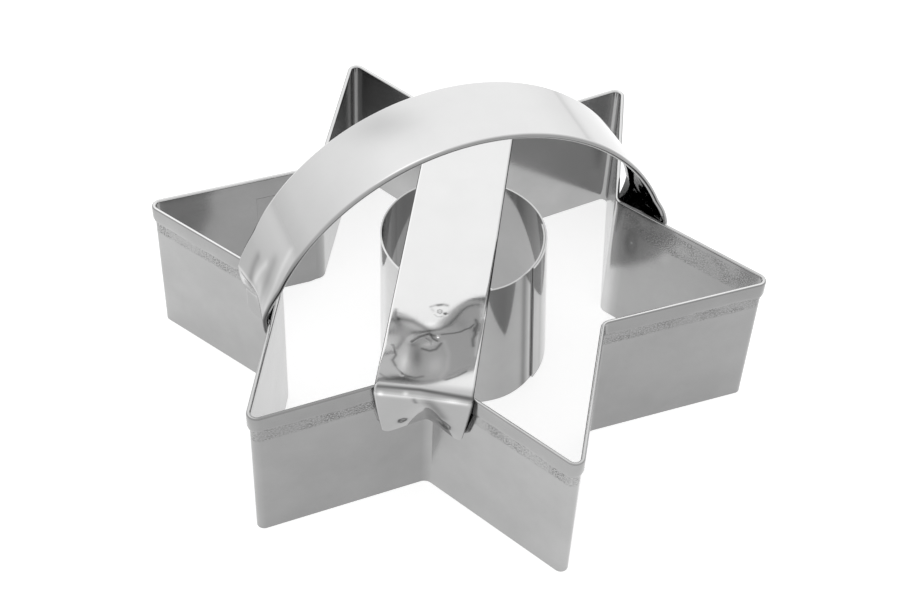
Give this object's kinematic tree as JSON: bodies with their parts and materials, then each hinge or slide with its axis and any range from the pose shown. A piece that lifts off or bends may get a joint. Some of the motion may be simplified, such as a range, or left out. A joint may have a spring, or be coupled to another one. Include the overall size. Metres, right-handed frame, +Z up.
{
  "type": "cookie cutter",
  "caption": "Star-shaped cookie cutter of hemmed sheet steel with a round centre cutter hung from a flat bridge strap and an arched strap handle.",
  "frame": {"origin": "middle of the star's box, on the plane of the cutting edges", "axes": "+Z up from the cutting edges to the handle, X along the arched handle, +Y toward a point of the star"},
  "size_m": [0.0873, 0.0995, 0.0516],
  "materials": {
    "satin_steel": "satin rolled stainless steel sheet",
    "polished_steel": "mirror-polished stainless steel strip"
  },
  "bodies": {
    "root": {"star_wall": "satin_steel", "handle_strap": "polished_steel", "bridge_strap": "polished_steel", "centre_ring": "polished_steel"}
  },
  "joints": []
}
